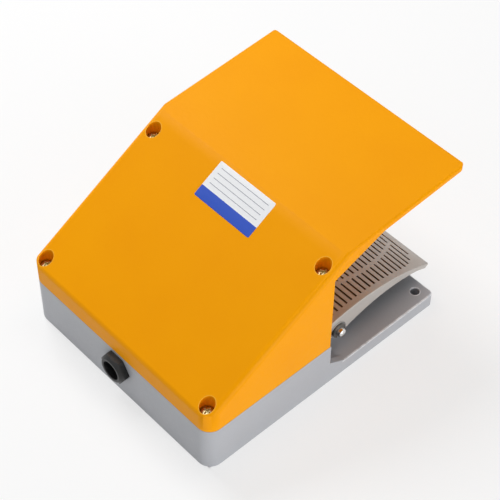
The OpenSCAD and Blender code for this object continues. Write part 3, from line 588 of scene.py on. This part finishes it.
# %% Gland screw and pin
def gland_rule(middle, fold):
    """The hexagon's six corners and the mouth's lips 0.35 mm; its turned chamfers stay crisp."""
    corner = np.abs(fold - 60) < 5
    lip = (fold > SHARP) & (middle[:, 1] > middle[:, 1].max() - 0.1)
    return np.where(corner | lip, 0.35, 0.0)


def pin_rule(middle, fold):
    """Both ends 0.12 mm."""
    return np.where(fold > SHARP, 0.12, 0.0)


softened("gland_pressing_screw", "gland_screw", black_nylon, "housing", 0.35,
         gland_rule)
softened("pivot_pin_bright", "pivot_pin", bright_pin, "housing", 0.12, pin_rule,
         steps=2)


# %% [markdown]
# ## Surfaces on a grid
# The pieces made here are grids of points: rows by columns, worked out at once as arrays. One
# function turns a grid into a mesh, closing it round its columns and capping its ends.

# %% Grid to mesh
def grid_mesh(name, grid, body, finish):
    """Mesh of a rows x columns x 3 grid in mm, closed round the columns. The face between
    row i and i+1, column j and j+1 joins (i,j), (i,j+1), (i+1,j+1) and (i+1,j). The first and
    the last row each carry a cap."""
    rows, columns = grid.shape[:2]
    i, j = np.meshgrid(np.arange(rows - 1), np.arange(columns), indexing="ij")
    k = (j + 1) % columns
    quads = np.stack([i * columns + j, i * columns + k, (i + 1) * columns + k,
                      (i + 1) * columns + j], -1).reshape(-1, 4)
    last = (rows - 1) * columns
    faces = quads.tolist() + [list(range(columns))[::-1], list(range(last, last + columns))]
    mesh = bpy.data.meshes.new(name)
    mesh.from_pydata((grid.reshape(-1, 3) * MM).tolist(), [], faces)
    mesh.materials.append(finish)
    mesh.shade_smooth()
    made = bpy.data.objects.new(name, mesh)
    bpy.context.scene.collection.objects.link(made)
    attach(made, body)
    return made


def joined(name, parts, body, node):
    """Joins pieces of one node into a single object that stands for it."""
    work = bmesh.new()
    finish = parts[0].data.materials[0]
    for part in parts:
        work.from_mesh(part.data)
    bmesh.ops.recalc_face_normals(work, faces=work.faces)
    mesh = bpy.data.meshes.new(name)
    work.to_mesh(mesh)
    work.free()
    mesh.materials.append(finish)
    for part in parts:
        bpy.data.objects.remove(part)
    made = bpy.data.objects.new(name, mesh)
    bpy.context.scene.collection.objects.link(made)
    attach(made, body)
    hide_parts(node)
    return made


# %% [markdown]
# ## Return springs
# Two coils of spring wire push the pedal up. Their end turns lie nearly flat. The wire's path
# is a helix whose height is eased at both ends.

# %% Coils
SPRING_X, SPRING_Y = 30.0, -60.0
EASE = 0.14                       # share of the coil over which each end flattens


def coil_grid(x, y, low, high, turns=5.5, outer=13.0, wire=1.5, steps=330, sides=14):
    """Helix of radius (outer - wire) / 2. Its height follows an ease: a parabola over the
    first and last 14 %, straight between. The wire's circle stands square to the path."""
    t = np.linspace(0, 1, steps)
    bend = 2 * EASE * (1 - EASE)
    rise = np.where(t < EASE, t * t / bend, (t - EASE / 2) / (1 - EASE))
    rise = np.where(t > 1 - EASE, 1 - (1 - t) ** 2 / bend, rise)
    a = 2 * np.pi * turns * t
    radius = (outer - wire) / 2
    path = np.stack([radius * np.cos(a), radius * np.sin(a),
                     low + wire / 2 + (high - low - wire) * rise], -1)
    ahead = np.gradient(path, axis=0)
    ahead /= np.linalg.norm(ahead, axis=1, keepdims=True)
    out = np.stack([np.cos(a), np.sin(a), np.zeros_like(a)], -1)
    up = np.cross(ahead, out)
    b = np.linspace(0, 2 * np.pi, sides, endpoint=False)
    ring = out[:, None] * np.cos(b)[None, :, None] + up[:, None] * np.sin(b)[None, :, None]
    return path[:, None] + ring * wire / 2 + np.array([x, y, 0.0])


spring_low, spring_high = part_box("return_springs")
low, high = spring_low.z / MM, spring_high.z / MM
coils = [grid_mesh(f"coil_{side}", coil_grid(side * SPRING_X, SPRING_Y, low, high), "housing",
                   spring_wire) for side in (-1, 1)]
springs = joined("pedal_return_springs", coils, "housing", "return_springs")
springs.data.shade_smooth()
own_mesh(springs)
print("spring height in mm:", round(high - low, 2))


# %% [markdown]
# ## Cover screws
# Four M4 pan-head screws with a cross recess sit deep in their counterbores. A screw is a
# turned shape, so it is one profile carried round an axis. The recess is pressed in: every
# point of the head drops by how far it lies inside the cross.

# %% Screw with a cross recess
SHANK_R, PITCH, THREAD = 2.0, 0.7, 0.24        # M4: shank, pitch and depth drawn for the thread
ARM, ARM_END, CORE, RECESS = 0.56, 2.25, 0.95, 1.9    # cross: half width, reach, middle, depth


def screw_grid(x, y, seat, tip, columns=96):
    """Profile from the crown of the head out, down its side, in to the thread and down to the
    tip. The crown falls as q^2.6. The recess lies inside a cross whose arms narrow outwards,
    and is 1.9 mm deep in the middle. Along an arm u is the way out and v the way across."""
    q = np.linspace(0, 1, 34)
    crown_r, crown_z = q * HEAD_R * 0.94, HEAD_H * (1 - 0.30 * q**2.6)
    side_r = HEAD_R * np.array([0.985, 1.0, 1.0, 0.97])
    side_z = HEAD_H * np.array([0.60, 0.45, 0.06, 0.0])
    down = np.arange(0.0, seat - tip - 1.0, PITCH / 4)
    thread = SHANK_R - THREAD * np.array([1.0, 0.5, 0.0, 0.5])[np.arange(len(down)) % 4]
    thread[down < 1.5] = SHANK_R - 0.05
    r = np.concatenate([crown_r, side_r, [SHANK_R], thread, [SHANK_R * 0.7, SHANK_R * 0.3]])
    z = np.concatenate([crown_z, side_z, [0.0], -down - 0.02, [tip - seat, tip - seat]])
    a = np.linspace(0, 2 * np.pi, columns, endpoint=False)
    px, py = r[:, None] * np.cos(a), r[:, None] * np.sin(a)
    u, v = np.maximum(np.abs(px), np.abs(py)), np.minimum(np.abs(px), np.abs(py))
    inside = np.clip((ARM - 0.10 * u - v) / 0.14 + 0.5, 0, 1)
    inside *= np.clip((ARM_END - u) / 0.3 + 0.5, 0, 1)
    inside = np.maximum(inside, np.clip((CORE - r[:, None]) / 0.35 + 0.5, 0, 1))
    head = (np.arange(len(r)) < len(q))[:, None]
    drop = np.where(head, inside * np.clip(RECESS - 0.35 * u, 0, RECESS), 0)
    return np.stack([px + x, py + y, z[:, None] - drop + seat], -1)


def screw_set(name, node):
    """The two screws of one node, one on each side. Each stands in its half of the box."""
    low, high = span(node)
    x, y, top = high[0] - HEAD_R, (low[1] + high[1]) / 2, high[2]
    made = [grid_mesh(f"{name}_{side}", screw_grid(side * x, y, top - HEAD_H, low[2]),
                      "housing", passivated_zinc) for side in (-1, 1)]
    print(name, "at", round(x, 1), round(y, 1), "head top", round(top, 1))
    joined(name, made, "housing", node)


screw_set("front_cover_screws", "cover_screws_front")
screw_set("rear_cover_screws", "cover_screws_rear")

# %% [markdown]
# ## Rating plate
# A printed vinyl label is stuck on the roof. Here it is blank: a white field with a blue
# band and a few ruled lines, as a plate that nobody has filled in yet. It is a thin sheet
# with round corners, and its print is worked out from its own UV map: the band fills the lower
# 30 %, and the rules are seven to the plate's height, inside a margin.

# %% Label finish
label_vinyl, tree, shader, _ = empty_finish("printed_gloss_vinyl")
spot = add(tree, "ShaderNodeUVMap", uv_map="print")
apart = add(tree, "ShaderNodeSeparateXYZ", {0: spot.outputs[0]})
across, along = apart.outputs[0], apart.outputs[1]
band = add(tree, "ShaderNodeMath", {0: along, 1: 0.30}, operation="LESS_THAN")
rows = add(tree, "ShaderNodeMath", {0: along, 1: 7.0}, operation="MULTIPLY")
phase = add(tree, "ShaderNodeMath", {0: rows.outputs[0]}, operation="FRACT")
line = add(tree, "ShaderNodeMath", {0: phase.outputs[0], 1: 0.10}, operation="LESS_THAN")
ruled = line.outputs[0]
for value, limit, test in ((across, 0.07, "GREATER_THAN"), (across, 0.93, "LESS_THAN"),
                           (along, 0.40, "GREATER_THAN"), (along, 0.90, "LESS_THAN")):
    field = add(tree, "ShaderNodeMath", {0: value, 1: limit}, operation=test)
    ruled = add(tree, "ShaderNodeMath", {0: ruled, 1: field.outputs[0]},
                operation="MULTIPLY").outputs[0]
paper = add(tree, "ShaderNodeMix",
            {"Factor": ruled, 6: linear("#F4F5F7"), 7: linear("#8B8F9A")},
            data_type="RGBA")
print_tone = add(tree, "ShaderNodeMix",
                 {"Factor": band.outputs[0], 6: paper.outputs[2], 7: linear("#3A5BC4")},
                 data_type="RGBA")
tree.links.new(print_tone.outputs[2], shader.inputs["Base Color"])
shader.inputs["Roughness"].default_value = 0.3
shader.inputs["Specular IOR Level"].default_value = 0.2


# %% Label sheet
def label_sheet(name, x0, x1, s0, s1, corner, thick):
    """Round-cornered sheet on the roof from x0 to x1, and from s0 to s1 up the slope. Its
    outline rises from just inside the roof, then shrinks towards the middle. A point s mm up
    the slope from the rim lies at (REAR_Y - s cos, RIM_Z + s sin)."""
    a = np.linspace(0, 2 * np.pi, 64, endpoint=False)
    cx, cs = np.sign(np.cos(a)), np.sign(np.sin(a))
    hx, hs = (x1 - x0) / 2 - corner, (s1 - s0) / 2 - corner
    x = cx * hx + corner * np.cos(a)
    s = cs * hs + corner * np.sin(a)
    shrink = np.array([1.0, 1.0, 0.99, 0.6, 0.2])[:, None]
    lift = np.array([-0.02, thick * 0.7, thick, thick, thick])[:, None]
    gx = (x0 + x1) / 2 + x * shrink
    gs = (s0 + s1) / 2 + s * shrink
    gy = REAR_Y - gs * math.cos(SLOPE) + lift * math.sin(SLOPE)
    gz = RIM_Z + gs * math.sin(SLOPE) + lift * math.cos(SLOPE)
    made = grid_mesh(name, np.stack([gx, gy, gz], -1), "housing", label_vinyl)
    corners = read(made.data.loops, "vertex_index", 1, np.int32)
    u = ((gx - x0) / (x1 - x0)).ravel()[corners]
    v = ((gs - s0) / (s1 - s0)).ravel()[corners]
    layer = made.data.uv_layers.new(name="print")
    layer.data.foreach_set("uv", np.stack([u, v], -1).astype(np.float32).ravel())
    print(f"{name}: {x1 - x0:.1f} by {s1 - s0:.1f} mm")


label_sheet("blank_rating_plate", -24.7, 21.7, 92.4, 117.5, 1.0, 0.12)

# %% [markdown]
# ## Camera
# The camera stands high behind the switch's left rear corner, on a long lens, so that the
# sloping roof, the cable gland and the pedal under the guard can all be seen. It is placed by
# three vectors: where it stands, where it looks and which way is up for it.

# %% Camera
eye = Vector((-451.87, 412.73, 744.43)) * MM
ahead = Vector((0.483959, -0.452710, -0.748890))
up = Vector((0.555749, -0.502050, 0.662638))
camera = bpy.data.objects.new("camera", bpy.data.cameras.new("camera"))
bpy.context.scene.collection.objects.link(camera)
turn = Matrix((ahead.cross(up), up, -ahead)).transposed()
camera.matrix_world = Matrix.Translation(eye) @ turn.to_4x4()
camera.data.lens = 111.25
camera.data.sensor_width = 36
camera.data.clip_end = 20
bpy.context.scene.camera = camera

# %% [markdown]
# ## Floor and light
# The floor is plain and pale, and so is the room. Both look white to the camera, to reflections
# and through glass. The floor keeps a soft shadow, and stays dark under the part, where the
# fixing holes show it. The room itself lights the object only gently. The main lamp stands high
# on the right, so that the guard's top is bright and shades the foot plate. A low lamp lights
# the left side, and two weak ones the front and the rear.

# %% Rays that see white
def seen_directly(tree):
    """1 for rays from the camera, from gloss and through glass, else 0."""
    rays = add(tree, "ShaderNodeLightPath")
    seen = rays.outputs["Is Camera Ray"]
    for kind in ("Is Glossy Ray", "Is Transmission Ray"):
        seen = add(tree, "ShaderNodeMath", {0: seen, 1: rays.outputs[kind]},
                   operation="MAXIMUM").outputs[0]
    return seen


# %% Floor
GLOW, EDGE = 0.65, 4.0            # share of plain white in the floor; half its width in metres

floor_paint, tree, shader, place = empty_finish("pale_matt_floor")
shader.inputs["Base Color"].default_value = linear("#F7F7F7")
shader.inputs["Roughness"].default_value = 0.9
shader.inputs["Specular IOR Level"].default_value = 0.0
plain_white = add(tree, "ShaderNodeEmission", {"Color": linear("#FFFFFF"), "Strength": 1.0})
apart = add(tree, "ShaderNodeSeparateXYZ", {0: place})
around = 0.0                      # 1 on the floor outside the part's outline, 2 mm drawn in
for axis, middle, half in ((0, 0.0, HALF_W), (1, (REAR_Y + FRONT_Y) / 2, (REAR_Y - FRONT_Y) / 2)):
    off = add(tree, "ShaderNodeMath", {0: apart.outputs[axis], 1: middle * MM},
              operation="SUBTRACT")
    far = add(tree, "ShaderNodeMath", {0: off.outputs[0]}, operation="ABSOLUTE")
    out = add(tree, "ShaderNodeMath", {0: far.outputs[0], 1: (half - 2) * MM},
              operation="GREATER_THAN")
    around = add(tree, "ShaderNodeMath", {0: around, 1: out.outputs[0]},
                 operation="MAXIMUM").outputs[0]
share = add(tree, "ShaderNodeMath", {0: seen_directly(tree), 1: GLOW}, operation="MULTIPLY")
share = add(tree, "ShaderNodeMath", {0: share.outputs[0], 1: around}, operation="MULTIPLY")
mixed = add(tree, "ShaderNodeMixShader", {0: share.outputs[0], 1: shader.outputs[0],
                                          2: plain_white.outputs[0]})
output = next(n for n in tree.nodes if n.type == "OUTPUT_MATERIAL")
tree.links.new(mixed.outputs[0], output.inputs["Surface"])
floor_mesh = bpy.data.meshes.new("floor")
floor_mesh.from_pydata([(-EDGE, -EDGE, 0), (EDGE, -EDGE, 0), (EDGE, EDGE, 0), (-EDGE, EDGE, 0)],
                       [], [(0, 1, 2, 3)])
floor_mesh.materials.append(floor_paint)
floor = bpy.data.objects.new("floor", floor_mesh)
bpy.context.scene.collection.objects.link(floor)

# %% Room
world = bpy.data.worlds.new("white studio")
bpy.context.scene.world = world
world.use_nodes = True
tree = world.node_tree
tree.nodes.clear()
dim = add(tree, "ShaderNodeBackground", {"Color": linear("#FFFFFF"), "Strength": 0.30})
white = add(tree, "ShaderNodeBackground", {"Color": linear("#FFFFFF"), "Strength": 1.0})
both = add(tree, "ShaderNodeMixShader", {0: seen_directly(tree), 1: dim.outputs[0],
                                         2: white.outputs[0]})
add(tree, "ShaderNodeOutputWorld", {"Surface": both.outputs[0]})


# %% Lamps
def lamp(name, place, power, size):
    """Square soft lamp of some watts at a place in metres, aimed at the middle of the switch."""
    data = bpy.data.lights.new(name, "AREA")
    data.energy, data.size = power, size
    made = bpy.data.objects.new(name, data)
    bpy.context.scene.collection.objects.link(made)
    made.location = place
    aim = Vector((0, 0, 0.05)) - Vector(place)
    made.rotation_euler = aim.to_track_quat("-Z", "Y").to_euler()


lamp("overhead", (0.9, -0.1, 1.2), 13.8, 0.7)
lamp("front", (-0.1, -0.6, 1.5), 2.8, 0.7)
lamp("side", (-1.6, 0.1, 0.15), 16.0, 0.6)
lamp("rear", (0.0, 1.2, 1.0), 1.0, 0.7)
bpy.context.scene.view_settings.view_transform = "Standard"
